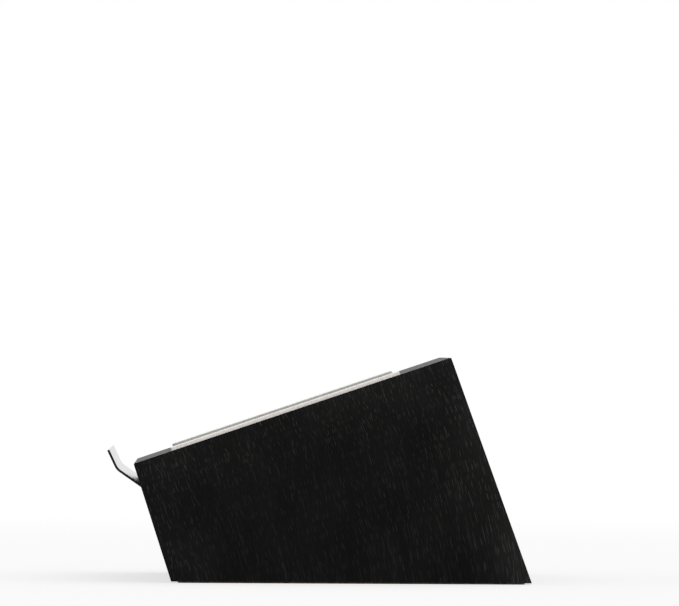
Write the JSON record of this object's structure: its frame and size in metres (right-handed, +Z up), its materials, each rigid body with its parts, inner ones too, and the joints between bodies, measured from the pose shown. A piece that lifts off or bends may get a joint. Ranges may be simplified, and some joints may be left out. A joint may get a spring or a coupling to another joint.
{
  "type": "laptop stand",
  "caption": "Sloping hollow wooden desk stand for a notebook computer, stained black, with felt rails on top, a bent metal stop lip at the front and a thin pad underneath.",
  "frame": {"origin": "middle of the stand's overall box, on the desk", "axes": "+Z up, -Y towards the user (the lip side), +X to the user's right; the top climbs towards +Y"},
  "size_m": [0.254, 0.2932, 0.1563],
  "materials": {
    "stained_veneer": "black-stained open-pore veneer, satin",
    "bare_plywood": "unfinished",
    "black_metal": "satin black",
    "brass": "machined",
    "zinced_steel": "zinc plated",
    "wool_felt": "pressed wool felt",
    "cork_rubber": "dark rubberised cork sheet"
  },
  "bodies": {
    "root": {"side_panel_right": "stained_veneer", "side_panel_left": "stained_veneer", "front_panel": "stained_veneer", "rear_panel": "stained_veneer", "top_panel": "stained_veneer", "base_panel": "bare_plywood", "front_batten": "bare_plywood", "rear_batten": "bare_plywood", "left_batten": "bare_plywood", "right_batten": "bare_plywood", "front_glue_block": "bare_plywood", "rear_glue_block": "bare_plywood", "lip": "black_metal", "lip_screw_1": "black_metal", "lip_screw_2": "black_metal", "lip_screw_3": "black_metal", "lip_screw_4": "black_metal", "lip_insert_1": "brass", "lip_insert_2": "brass", "lip_insert_3": "brass", "lip_insert_4": "brass", "base_screw_1": "zinced_steel", "base_screw_2": "zinced_steel", "base_screw_3": "zinced_steel", "base_screw_4": "zinced_steel", "base_screw_5": "zinced_steel", "base_screw_6": "zinced_steel", "base_screw_7": "zinced_steel", "base_screw_8": "zinced_steel", "felt_rail_right": "wool_felt", "felt_rail_left": "wool_felt", "base_pad": "cork_rubber"}
  },
  "joints": []
}
